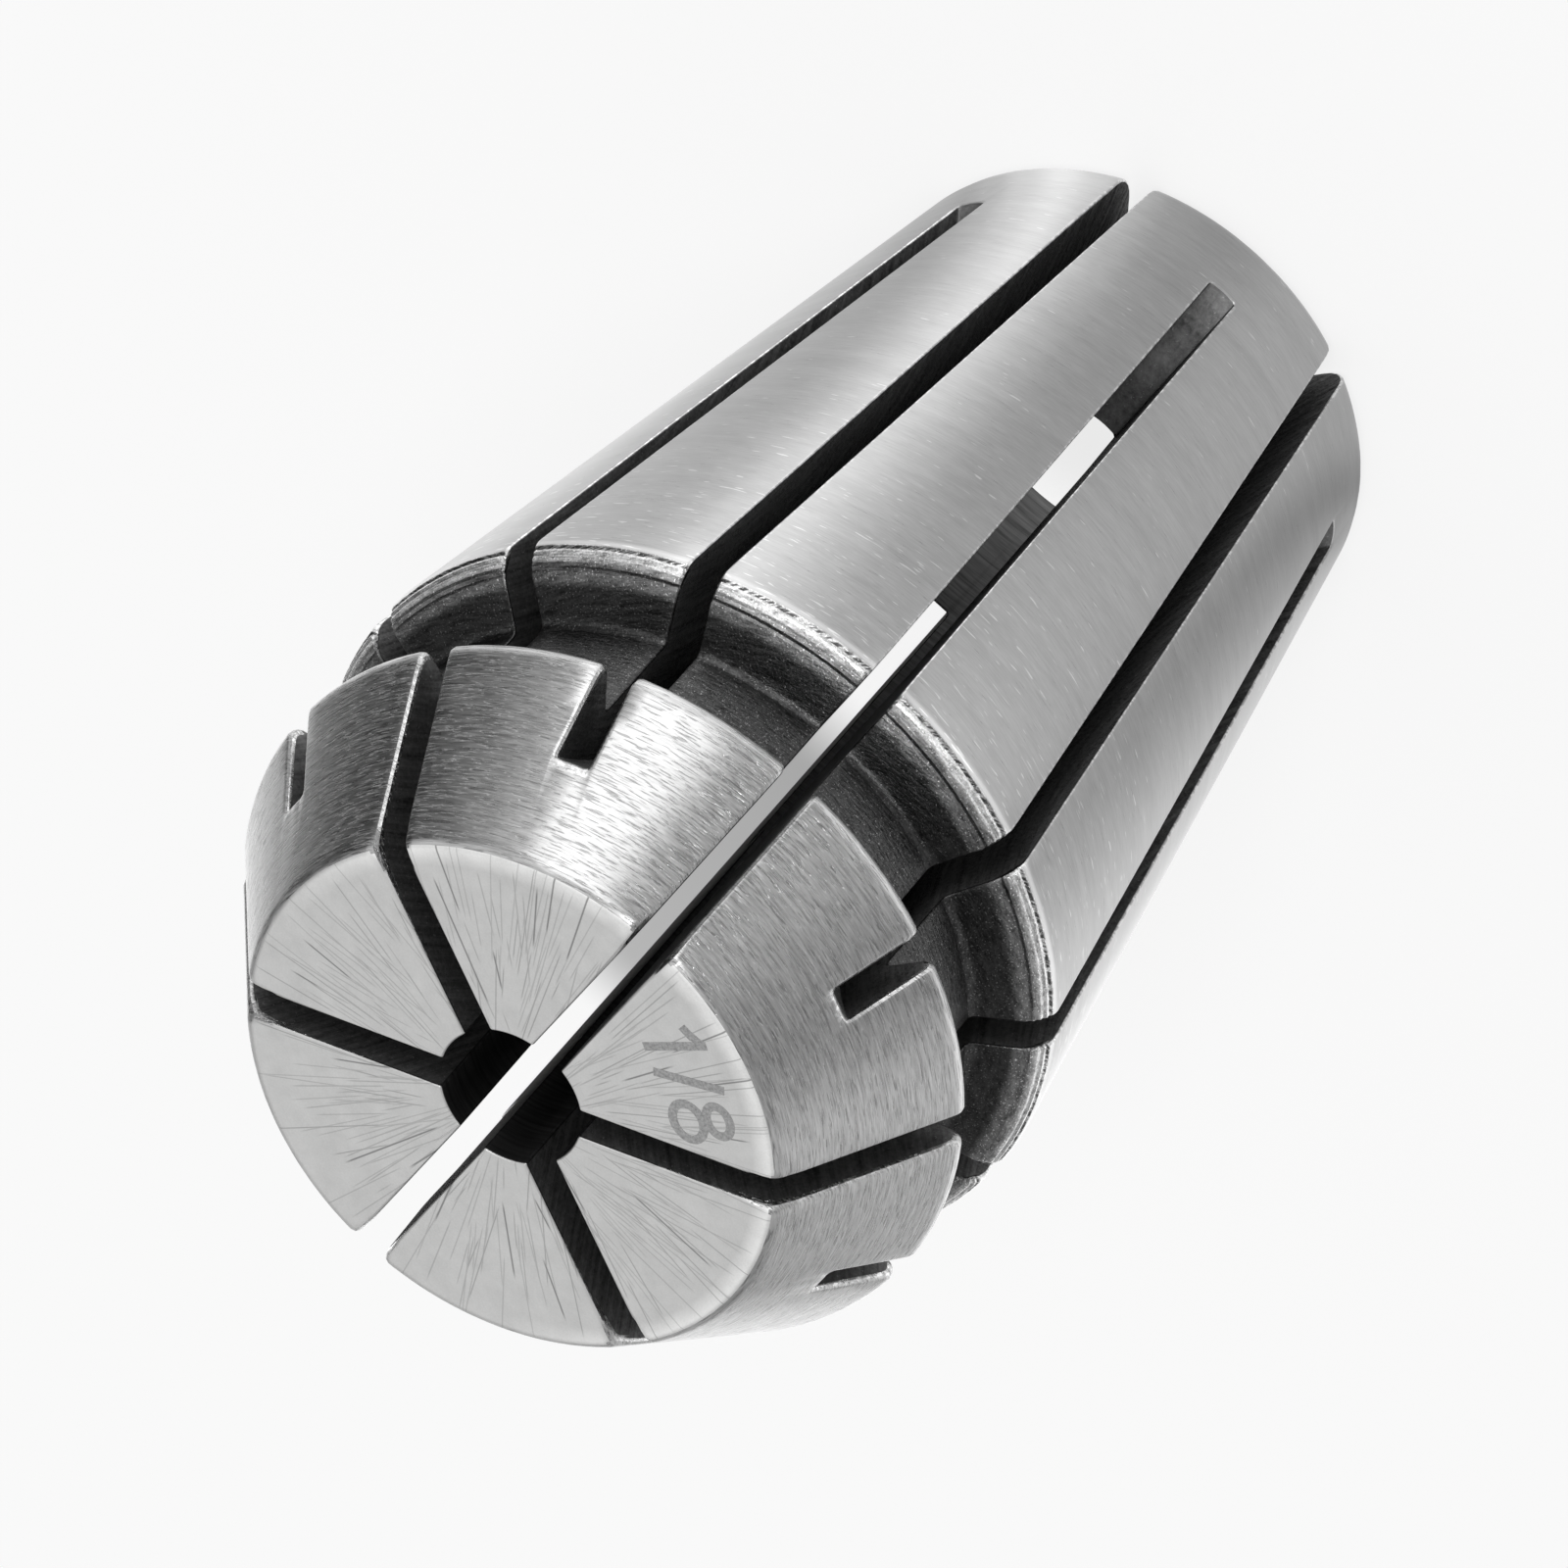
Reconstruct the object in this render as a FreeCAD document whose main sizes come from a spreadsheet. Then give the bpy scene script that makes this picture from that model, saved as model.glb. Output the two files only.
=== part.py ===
import FreeCAD, Part
import math
import os
import Sketcher

# Er collet of nominal size 16 with a 1/8 inch bore, in millimetres.
# It stands on its tail: the tail face is centred on the origin and the nose points along +Z.
# It is one turned and slotted piece: a long seat taper, a groove for the clamping nut, a short
# nose cone, and two sets of saw slots that start at opposite ends and lie between each other.

SIZES = {
    "overall_length": 27.5,
    "seat_diameter": 17.0,
    "seat_gauge_depth": 6.7,
    "seat_angle": 8.0,
    "nose_length": 4.0,
    "nose_face_diameter": 12.0,
    "nose_angle": 30.0,
    "groove_width": 2.7,
    "groove_diameter": 13.8,
    "shoulder_lean": 21.0,
    "shoulder_radius": 0.47,
    "head_edge_radius": 0.2,
    "nose_edge_radius": 0.15,
    "tail_edge_radius": 0.8,
    "bore_diameter": 3.175,
    "bore_length": 12.0,
    "bore_edge_chamfer": 0.06,
    "relief_diameter": 7.0,
    "relief_end_angle": 59.0,
    "relief_mouth_chamfer": 0.6,
    "slot_count": 6,
    "slot_width": 0.7,
    "saw_radius": 21.0,
    "front_slot_web": 2.2,
    "rear_slot_web": 2.0,
    "rear_slot_floor_radius": 2.6,
}

NODE = "collet"
SAME_PLACE = 1e-4
FULL_TURN = 360
CUTS = ("PartDesign::Pocket", "PartDesign::Groove", "PartDesign::PolarPattern")


class Section:
    """Radii, and heights above the tail face, that follow from the driving sizes."""

    def __init__(self, sheet):
        self.length = sheet.overall_length
        self.seat_radius = sheet.seat_diameter / 2
        self.seat_slope = slope(sheet.seat_angle)
        self.gauge_height = self.length - sheet.seat_gauge_depth
        self.tail_radius = self.seat_radius_at(0)
        self.nose_radius = sheet.nose_face_diameter / 2
        self.nose_slope = slope(sheet.nose_angle)
        self.head_radius = self.nose_radius_at(sheet.nose_length)
        self.head_height = self.length - sheet.nose_length
        self.groove_radius = sheet.groove_diameter / 2
        self.foot_height = self.head_height - sheet.groove_width
        lean = slope(sheet.shoulder_lean)
        wall = self.seat_radius_at(self.foot_height) - self.groove_radius
        wall = wall / (1 + lean * self.seat_slope)
        self.shoulder_radius = self.groove_radius + wall
        self.shoulder_height = self.foot_height - wall * lean
        self.bore_radius = sheet.bore_diameter / 2
        self.bore_end = self.length - sheet.bore_length
        self.relief_radius = sheet.relief_diameter / 2
        cone = (self.relief_radius - self.bore_radius) / slope(sheet.relief_end_angle)
        self.relief_end = self.bore_end - cone

    def seat_radius_at(self, height):
        return self.seat_radius - (self.gauge_height - height) * self.seat_slope

    def nose_radius_at(self, depth):
        return self.nose_radius + depth * self.nose_slope


def slope(angle):
    return math.tan(math.radians(angle))


def point(across, up):
    return FreeCAD.Vector(across, up, 0)


def make_sheet(document, sizes):
    """Write each driving size in a cell of its own, under its own name."""
    sheet = document.addObject("Spreadsheet::Sheet", "Sizes")
    for row, (name, value) in enumerate(sizes.items(), start=1):
        sheet.set(f"A{row}", name)
        sheet.set(f"B{row}", str(value))
        sheet.setAlias(f"B{row}", name)
    document.recompute()
    return sheet


def origin_part(body, role):
    """One plane or axis of the body's own origin."""
    return next(item for item in body.Origin.OriginFeatures if item.Role == role)


def add_sketch(body, name, plane):
    """An empty sketch on one of the body's origin planes."""
    sketch = body.newObject("Sketcher::SketchObject", name)
    sketch.AttachmentSupport = [(origin_part(body, plane), "")]
    sketch.MapMode = "FlatFace"
    return sketch


def add_outline(sketch, corners):
    """Closed run of straight lines through the corners; returns the lines' numbers."""
    count = len(corners)
    for here in range(count):
        sketch.addGeometry(Part.LineSegment(corners[here], corners[(here + 1) % count]), False)
    for here in range(count):
        join(sketch, here, (here + 1) % count)
    return range(count)


def join(sketch, line, following):
    """The end of one line or arc is the start of another."""
    sketch.addConstraint(Sketcher.Constraint("Coincident", line, 2, following, 1))


def drive(sketch, name, formula, *rule):
    """Add a dimension that a formula of sheet sizes drives."""
    number = sketch.addConstraint(Sketcher.Constraint(*rule))
    sketch.renameConstraint(number, name)
    sketch.setExpression(f"Constraints.{name}", formula)


def drive_across(sketch, name, formula, item):
    """Distance of an item's first point from the axis."""
    value = sketch.getPoint(item, 1).x
    drive(sketch, name, formula, "DistanceX", -1, 1, item, 1, value)


def drive_up(sketch, name, formula, item):
    """Height of an item's first point above the tail face."""
    value = sketch.getPoint(item, 1).y
    drive(sketch, name, formula, "DistanceY", -1, 1, item, 1, value)


def hold_level(sketch, *lines):
    for line in lines:
        sketch.addConstraint(Sketcher.Constraint("Horizontal", line))


def hold_upright(sketch, *lines):
    for line in lines:
        sketch.addConstraint(Sketcher.Constraint("Vertical", line))


def hold_at_origin(sketch, line):
    sketch.addConstraint(Sketcher.Constraint("Coincident", line, 1, -1, 1))


def hold_point(sketch, name, place, across, up, curve):
    """A helper point at a driven place, which a line or arc has to pass through."""
    helper = sketch.addGeometry(Part.Point(place), True)
    drive_across(sketch, f"{name}_across", across, helper)
    drive_up(sketch, f"{name}_up", up, helper)
    sketch.addConstraint(Sketcher.Constraint("PointOnObject", helper, 1, curve))


def turn_blank(body, section):
    """The solid blank: seat taper, shoulder, nut groove and nose cone about the axis."""
    sketch = add_sketch(body, "blank_outline", "XZ_Plane")
    corners = [
        point(0, 0),
        point(section.tail_radius, 0),
        point(section.shoulder_radius, section.shoulder_height),
        point(section.groove_radius, section.foot_height),
        point(section.groove_radius, section.head_height),
        point(section.head_radius, section.head_height),
        point(section.nose_radius, section.length),
        point(0, section.length),
    ]
    tail, seat, shoulder, groove, head_back, nose, face, axis = add_outline(sketch, corners)
    hold_at_origin(sketch, tail)
    hold_level(sketch, tail, head_back, face)
    hold_upright(sketch, groove, axis)
    right_angle = math.radians(90)
    seat_rise = right_angle - math.atan(section.seat_slope)
    nose_rise = right_angle + math.atan(section.nose_slope)
    shoulder_rise = math.atan2(
        section.foot_height - section.shoulder_height,
        section.groove_radius - section.shoulder_radius,
    )
    drive(sketch, "seat_rise", "(90 - Sizes.seat_angle) * 1 deg", "Angle", seat, seat_rise)
    drive(sketch, "nose_rise", "(90 + Sizes.nose_angle) * 1 deg", "Angle", nose, nose_rise)
    drive(
        sketch, "shoulder_rise", "(180 - Sizes.shoulder_lean) * 1 deg",
        "Angle", shoulder, shoulder_rise,
    )
    hold_point(
        sketch, "gauge", point(section.seat_radius, section.gauge_height),
        "Sizes.seat_diameter / 2", "Sizes.overall_length - Sizes.seat_gauge_depth", seat,
    )
    head = "Sizes.overall_length - Sizes.nose_length"
    drive_across(sketch, "groove_across", "Sizes.groove_diameter / 2", groove)
    drive_up(sketch, "foot_up", f"{head} - Sizes.groove_width", groove)
    drive_up(sketch, "head_up", head, head_back)
    drive_across(sketch, "face_across", "Sizes.nose_face_diameter / 2", face)
    drive_up(sketch, "face_up", "Sizes.overall_length", face)
    blank = body.newObject("PartDesign::Revolution", "blank")
    blank.Profile = sketch
    blank.ReferenceAxis = (sketch, ["V_Axis"])
    blank.Angle = FULL_TURN


def drill_bore(body, section):
    """The gripping bore, drilled through along the axis."""
    sketch = add_sketch(body, "bore_outline", "XY_Plane")
    sketch.addGeometry(Part.Circle(point(0, 0), FreeCAD.Vector(0, 0, 1), section.bore_radius), False)
    sketch.addConstraint(Sketcher.Constraint("Coincident", 0, 3, -1, 1))
    drive(sketch, "bore", "Sizes.bore_diameter", "Diameter", 0, 2 * section.bore_radius)
    bore = body.newObject("PartDesign::Pocket", "bore")
    bore.Profile = sketch
    bore.Reversed = True
    bore.Type = "ThroughAll"


def bore_relief(body, section):
    """The wider bore behind the grip, from the tail up to a cone at the end of the grip."""
    sketch = add_sketch(body, "relief_outline", "XZ_Plane")
    corners = [
        point(0, 0),
        point(section.relief_radius, 0),
        point(section.relief_radius, section.relief_end),
        point(section.bore_radius, section.bore_end),
        point(0, section.bore_end),
    ]
    mouth, wall, cone, end, axis = add_outline(sketch, corners)
    hold_at_origin(sketch, mouth)
    hold_level(sketch, mouth, end)
    hold_upright(sketch, wall, axis)
    cone_rise = math.atan2(
        section.bore_end - section.relief_end,
        section.bore_radius - section.relief_radius,
    )
    drive_across(sketch, "wall_across", "Sizes.relief_diameter / 2", wall)
    drive_across(sketch, "end_across", "Sizes.bore_diameter / 2", end)
    drive_up(sketch, "end_up", "Sizes.overall_length - Sizes.bore_length", end)
    drive(sketch, "cone_rise", "(90 + Sizes.relief_end_angle) * 1 deg", "Angle", cone, cone_rise)
    relief = body.newObject("PartDesign::Groove", "relief")
    relief.Profile = sketch
    relief.ReferenceAxis = (sketch, ["V_Axis"])
    relief.Angle = FULL_TURN


def ring_edge(shape, radius, height):
    """Name of the round edge with this radius at this height."""
    for number, edge in enumerate(shape.Edges, start=1):
        if not isinstance(edge.Curve, Part.Circle):
            continue
        gap = max(abs(edge.Curve.Radius - radius), abs(edge.Curve.Center.z - height))
        if gap < SAME_PLACE:
            return f"Edge{number}"
    raise ValueError(f"no edge of radius {radius} at height {height}")


def dress_edge(body, kind, size, radius, height):
    """Round or chamfer one ring of the turned form, by the size of the same name."""
    turned = body.Tip
    ring = ring_edge(turned.Shape, radius, height)
    dressing = body.newObject(f"PartDesign::{kind}", f"{size}_edge")
    dressing.Base = (turned, [ring])
    dressing.setExpression("Radius" if kind == "Fillet" else "Size", f"Sizes.{size}")
    body.Document.recompute()


def dress_edges(body, section):
    """The small rounds and chamfers that the lathe leaves on the rings."""
    at = section
    dress_edge(body, "Fillet", "nose_edge_radius", at.nose_radius, at.length)
    dress_edge(body, "Fillet", "head_edge_radius", at.head_radius, at.head_height)
    dress_edge(body, "Fillet", "shoulder_radius", at.shoulder_radius, at.shoulder_height)
    dress_edge(body, "Fillet", "tail_edge_radius", at.tail_radius, 0)
    dress_edge(body, "Chamfer", "bore_edge_chamfer", at.bore_radius, at.length)
    dress_edge(body, "Chamfer", "relief_mouth_chamfer", at.relief_radius, 0)


def rim_rise(saw_radius, depth):
    """Height between the saw's centre and its rim, at a depth outside the slot floor."""
    return math.sqrt(saw_radius ** 2 - (saw_radius - depth) ** 2)


def outline_slot(sketch, floor, saw_height, saw_radius, toward, open_height):
    """Side view of one slot: a quarter of the saw, and its straight travel out of the piece.

    The saw cuts towards the nose where toward is 1, and towards the tail where it is -1.
    Returns the arc and the line of the slot floor.
    """
    outer = floor + saw_radius
    disc = Part.Circle(point(outer, saw_height), FreeCAD.Vector(0, 0, 1), saw_radius)
    start, end = (90, 180) if toward > 0 else (180, 270)
    floor_end, far_end = (2, 1) if toward > 0 else (1, 2)
    quarter = Part.ArcOfCircle(disc, math.radians(start), math.radians(end))
    arc = sketch.addGeometry(quarter, False)
    far = point(outer, saw_height + toward * saw_radius)
    open_far = point(outer, open_height)
    open_floor = point(floor, open_height)
    back = sketch.addGeometry(Part.LineSegment(far, open_far), False)
    mouth = sketch.addGeometry(Part.LineSegment(open_far, open_floor), False)
    bed = sketch.addGeometry(Part.LineSegment(open_floor, point(floor, saw_height)), False)
    join(sketch, back, mouth)
    join(sketch, mouth, bed)
    hold_upright(sketch, back, bed)
    hold_level(sketch, mouth)
    sketch.addConstraint(Sketcher.Constraint("Coincident", arc, far_end, back, 1))
    sketch.addConstraint(Sketcher.Constraint("Tangent", arc, floor_end, bed, 2))
    sketch.addConstraint(Sketcher.Constraint("Vertical", arc, 3, arc, far_end))
    drive(sketch, "saw", "Sizes.saw_radius", "Radius", arc, saw_radius)
    return arc, bed


def cut_slots(body, sketch, name):
    """Cut one slot, evenly about the sketch plane, and repeat it around the axis."""
    slot = body.newObject("PartDesign::Pocket", name)
    slot.Profile = sketch
    slot.Type = "Length"
    slot.SideType = "Symmetric"
    slot.setExpression("Length", "Sizes.slot_width")
    body.Document.recompute()
    ring = body.newObject("PartDesign::PolarPattern", f"{name}_ring")
    ring.Originals = [slot]
    ring.Axis = (origin_part(body, "Z_Axis"), [""])
    ring.Angle = FULL_TURN
    ring.setExpression("Occurrences", "Sizes.slot_count")
    body.Tip = ring
    body.Document.recompute()


def saw_front_slots(body, sheet, section):
    """Slots from the nose, down to the axis, that leave a web at the tail."""
    sketch = add_sketch(body, "front_slot_outline", "XZ_Plane")
    web_radius = section.seat_radius_at(sheet.front_slot_web)
    saw_height = sheet.front_slot_web + rim_rise(sheet.saw_radius, web_radius)
    open_height = section.length + sheet.slot_width
    arc, bed = outline_slot(sketch, 0, saw_height, sheet.saw_radius, -1, open_height)
    sketch.addConstraint(Sketcher.Constraint("PointOnObject", bed, 1, -2))
    drive_up(sketch, "mouth_up", "Sizes.overall_length + Sizes.slot_width", bed)
    gauge_up = "(Sizes.overall_length - Sizes.seat_gauge_depth - Sizes.front_slot_web)"
    hold_point(
        sketch, "web", point(web_radius, sheet.front_slot_web),
        f"Sizes.seat_diameter / 2 - {gauge_up} * tan(Sizes.seat_angle * 1 deg)",
        "Sizes.front_slot_web", arc,
    )
    cut_slots(body, sketch, "front_slot")


def saw_rear_slots(body, sheet, section):
    """Slots from the tail, halfway between the front ones, that leave a web at the nose."""
    sketch = add_sketch(body, "rear_slot_outline", "XZ_Plane")
    sketch.AttachmentOffset = FreeCAD.Placement(
        FreeCAD.Vector(0, 0, 0), FreeCAD.Rotation(FreeCAD.Vector(0, 1, 0), 1)
    )
    sketch.setExpression("AttachmentOffset.Rotation.Angle", "180 deg / Sizes.slot_count")
    floor = sheet.rear_slot_floor_radius
    web_radius = section.nose_radius_at(sheet.rear_slot_web)
    web_height = section.length - sheet.rear_slot_web
    saw_height = web_height - rim_rise(sheet.saw_radius, web_radius - floor)
    arc, bed = outline_slot(sketch, floor, saw_height, sheet.saw_radius, 1, -sheet.slot_width)
    drive_across(sketch, "bed_across", "Sizes.rear_slot_floor_radius", bed)
    drive_up(sketch, "mouth_up", "-Sizes.slot_width", bed)
    nose_rise = "Sizes.rear_slot_web * tan(Sizes.nose_angle * 1 deg)"
    hold_point(
        sketch, "web", point(web_radius, web_height),
        f"Sizes.nose_face_diameter / 2 + {nose_rise}",
        "Sizes.overall_length - Sizes.rear_slot_web", arc,
    )
    cut_slots(body, sketch, "rear_slot")


def check_cuts(body):
    """Every bore, slot and ring of slots takes metal from the step before it."""
    steps = [item for item in body.Group if item.isDerivedFrom("PartDesign::Feature")]
    for before, after in zip(steps, steps[1:]):
        if after.TypeId in CUTS and after.Shape.Volume >= before.Shape.Volume:
            raise ValueError(f"{after.Name} takes no metal from {before.Name}")


def check_document(document):
    """No object has failed, and every sketch is held by its dimensions."""
    for item in document.Objects:
        if {"Invalid", "Error"} & set(item.State):
            raise ValueError(f"{item.Name} has failed: {item.State}")
        if item.TypeId == "Sketcher::SketchObject" and not item.FullyConstrained:
            raise ValueError(f"{item.Name} is not fully held")


def write_step(body):
    shape = body.Shape
    if shape.isNull() or not shape.isValid() or len(shape.Solids) != 1:
        raise ValueError(f"{body.Label} is not one valid solid")
    os.makedirs("parts", exist_ok=True)
    shape.exportStep(f"parts/{body.Label}.step")


def main():
    document = FreeCAD.newDocument("collet")
    sheet = make_sheet(document, SIZES)
    section = Section(sheet)
    body = document.addObject("PartDesign::Body", NODE)
    body.Label = NODE
    turn_blank(body, section)
    drill_bore(body, section)
    bore_relief(body, section)
    document.recompute()
    dress_edges(body, section)
    saw_front_slots(body, sheet, section)
    saw_rear_slots(body, sheet, section)
    document.recompute()
    check_document(document)
    check_cuts(body)
    write_step(body)


main()
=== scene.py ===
import math

import bpy
from mathutils import Matrix, Vector


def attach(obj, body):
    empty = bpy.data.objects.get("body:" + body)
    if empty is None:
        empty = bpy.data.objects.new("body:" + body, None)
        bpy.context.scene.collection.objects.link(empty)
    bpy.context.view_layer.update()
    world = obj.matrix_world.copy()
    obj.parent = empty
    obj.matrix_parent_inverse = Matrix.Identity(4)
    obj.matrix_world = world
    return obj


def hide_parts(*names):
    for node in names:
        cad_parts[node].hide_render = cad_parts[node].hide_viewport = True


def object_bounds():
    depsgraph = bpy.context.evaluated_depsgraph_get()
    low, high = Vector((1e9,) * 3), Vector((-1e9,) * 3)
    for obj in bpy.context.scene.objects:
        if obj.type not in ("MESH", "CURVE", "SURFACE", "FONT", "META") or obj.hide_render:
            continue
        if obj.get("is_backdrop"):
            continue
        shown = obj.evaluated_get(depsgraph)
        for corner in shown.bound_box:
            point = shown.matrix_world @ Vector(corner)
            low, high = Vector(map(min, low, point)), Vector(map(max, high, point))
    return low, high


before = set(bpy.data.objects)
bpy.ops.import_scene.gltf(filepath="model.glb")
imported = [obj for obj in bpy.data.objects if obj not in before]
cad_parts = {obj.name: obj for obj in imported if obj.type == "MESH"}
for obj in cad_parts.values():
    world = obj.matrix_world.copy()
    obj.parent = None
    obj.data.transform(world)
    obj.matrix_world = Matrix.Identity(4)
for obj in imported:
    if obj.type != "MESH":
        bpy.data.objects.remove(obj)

bl_info = {
    "name": "Er collet",
    "version": (1, 0, 0),
    "blender": (4, 5, 0),
    "location": "View3D > Sidebar > Collet",
    "description": "Models a slotted spring collet and the studio that it is shown in",
    "category": "Object",
}

NODE = "collet"
BODY = "root"
MM = 0.001
SAME_POINT = 1e-4
SMOOTH_ANGLE = math.radians(25)
# Steps of the turned body, of a rounded corner, of a tool ring, of a saw's rim and of an oval.
TURNING_STEPS, ARC_STEPS, RING_STEPS, SAW_STEPS, OVAL_STEPS = 180, 5, 6, 256, 48

# Lengths named in capitals are in millimetres where nothing else is said, as the meshes are until
# they are settled.
# How far from a corner its wider broken edge runs out, and the extra points of the outline near a
# corner that let it run out gently. Below the nose face they stand closer, by this share.
CORNER_REACH = 0.35
CORNER_STEPS = (0.54, 0.64, 0.78, 0.96, 1.25)
NOSE_STEP_SHARE = 0.6
# Further steps in from the nose corner; none lies where a slot wall runs close beside a meridian.
FACE_STEPS = (1.5, 2.9)
# Drops of the seat taper's other points below the shoulder, as shares of the shoulder's height.
SEAT_DROPS = (0.85, 0.7, 0.55, 0.4, 0.25)
# Meridians between these angles from a slot's plane, and this far outside the relief, would run as
# slivers beside its walls.
CLEARED_FROM, CLEARED_TO = math.radians(3), math.radians(5)
CLEARED_OUTSIDE = 0.4
# The front saws start this far from the axis, in the open bore, so that they stay apart.
SAW_START = 0.8
# How far the saws travel past the ends of the body.
PAST_END = 1
# Where the finishes change: outside the relief, below the nose face, above the foot of the nose
# cone and below the shoulder.
BORED_REACH, FACED_REACH, NOSE_START, TURNED_REACH = 0.1, 0.03, 0.12, 0.27
# How far each segment stands out of line at the nose, as shares of the splay.
SPLAY_SHARES = (0.4, -0.7, 0.9, -0.3, 0.6, -0.9)

# Height of the frame's solids, in metres.
LOWEST, HIGHEST = (corner[2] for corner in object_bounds())
CAD_LENGTH = round(HIGHEST - LOWEST, 6)


def length_of(name, description, default):
    """A length in metres."""
    return bpy.props.FloatProperty(
        name=name, description=description, default=default, min=0, unit="LENGTH", precision=6
    )


def angle_of(name, description, degrees):
    return bpy.props.FloatProperty(
        name=name, description=description, default=math.radians(degrees), subtype="ANGLE"
    )


def share_of(name, description, default):
    """A number from 0 to 1."""
    return bpy.props.FloatProperty(
        name=name, description=description, default=default, min=0, max=1, subtype="FACTOR"
    )


def colour_of(name, description, default):
    return bpy.props.FloatVectorProperty(
        name=name, description=description, default=default, min=0, max=1, size=3, subtype="COLOR"
    )


class ColletSizes(bpy.types.PropertyGroup):
    overall_length: length_of("Overall length", "From the tail face to the nose face", CAD_LENGTH)
    gauge_radius: length_of("Gauge radius", "Radius of the seat taper at its gauge plane", 0.0085)
    gauge_depth: length_of("Gauge depth", "From the nose face to the gauge plane", 0.0067)
    seat_angle: angle_of("Seat angle", "Half angle of the seat taper", 8)
    tail_round: length_of("Tail round", "Radius of the outer edge of the tail", 0.0008)
    shoulder_lean: angle_of("Shoulder lean", "Lean of the wall behind the nut groove", 21)
    shoulder_round: length_of("Shoulder round", "Radius between the wall and the taper", 0.0006)
    nose_length: length_of("Nose length", "From the nose face to the nut groove", 0.00415)
    nose_radius: length_of("Nose radius", "Radius of the nose face", 0.006)
    nose_angle: angle_of("Nose angle", "Half angle of the nose cone", 30)
    nose_round: length_of("Nose round", "Radius of the edge of the nose face", 0.0003)
    head_round: length_of("Head round", "Radius of the widest edge of the nose", 0.00028)
    groove_width: length_of("Groove width", "Width of the nut groove at its floor", 0.00255)
    groove_radius: length_of("Groove radius", "Radius of the floor of the nut groove", 0.0069)
    groove_round: length_of("Groove round", "Radius at the foot of the groove's walls", 0.0002)
    ring_pitch: length_of("Ring pitch", "Distance between the tool rings on the shoulder", 0.00015)
    ring_depth: length_of("Ring depth", "Depth of the tool rings on the shoulder", 0.000028)
    smooth_lead: length_of("Smooth lead", "Smooth part of the shoulder before the rings", 0.00022)
    ring_count: bpy.props.IntProperty(
        name="Ring count", description="Number of tool rings on the shoulder", default=4, min=0
    )
    bore_radius: length_of("Bore radius", "Radius of the gripping bore", 0.0015875)
    bore_length: length_of("Bore length", "Length of the gripping bore", 0.012)
    bore_round: length_of("Bore round", "Radius of the edge of the bore", 0.00006)
    relief_radius: length_of("Relief radius", "Radius of the bore behind the grip", 0.0035)
    relief_chamfer: length_of("Relief chamfer", "Chamfer at the mouth of the relief", 0.0006)
    relief_angle: angle_of("Relief angle", "Half angle of the cone that ends the relief", 59)
    slot_width: length_of("Slot width", "Width of every saw slot", 0.0007)
    saw_radius: length_of("Saw radius", "Radius of the disc that cuts the slots", 0.021)
    front_web: length_of("Front slot web", "Metal that a front slot leaves at the tail", 0.0022)
    rear_web: length_of("Rear slot web", "Metal that a rear slot leaves at the nose", 0.002)
    rear_floor: length_of("Rear slot floor", "Radius of the floor of a rear slot", 0.0026)
    edge_break: length_of("Edge break", "Width of the broken edge along the slots", 0.00007)
    nose_break: length_of("Nose break", "Width of the broken edge on the nose cone", 0.00019)
    corner_break: length_of("Corner break", "Width of the broken edge at the corners", 0.00036)
    saw_corner: length_of("Saw corner", "Radius of the corners of the saw's teeth", 0.00008)
    splay: length_of("Splay", "How far the segments stand out of line at the nose", 0.00004)
    slot_count: bpy.props.IntProperty(
        name="Slot count", description="Number of slots from each end", default=6, min=2
    )


class MarkSettings(bpy.types.PropertyGroup):
    across: length_of("Across", "Place of the mark's centre along X", 0.0002)
    out: length_of("Out", "Place of the mark's centre along Y", 0.0045)
    tilt: angle_of("Tilt", "Turn of the mark on the nose face", -7)
    stroke: length_of("Stroke", "Width of the strokes", 0.0002)
    stand: length_of("Stand", "How far the mark stands off the face", 0.000003)
    colour: colour_of("Colour", "Colour of the marked steel", (0.36, 0.36, 0.36))


class SteelFinish(bpy.types.PropertyGroup):
    ground: colour_of("Ground steel", "Colour of the ground tapers", (0.5, 0.5, 0.5))
    faced: colour_of("Faced steel", "Colour of the nose face", (0.6, 0.6, 0.595))
    turned: colour_of("Turned steel", "Colour of the groove", (0.06, 0.06, 0.06))
    ringed: colour_of("Ringed steel", "Colour of the edge of the shoulder", (0.6, 0.6, 0.6))
    sawn: colour_of("Sawn steel", "Colour of the walls of the slots", (0.17, 0.17, 0.17))
    bored: colour_of("Bored steel", "Colour inside the bore", (0.07, 0.07, 0.07))
    scratch: colour_of("Scratches", "Colour in the deep scratches", (0.12, 0.12, 0.12))


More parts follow.
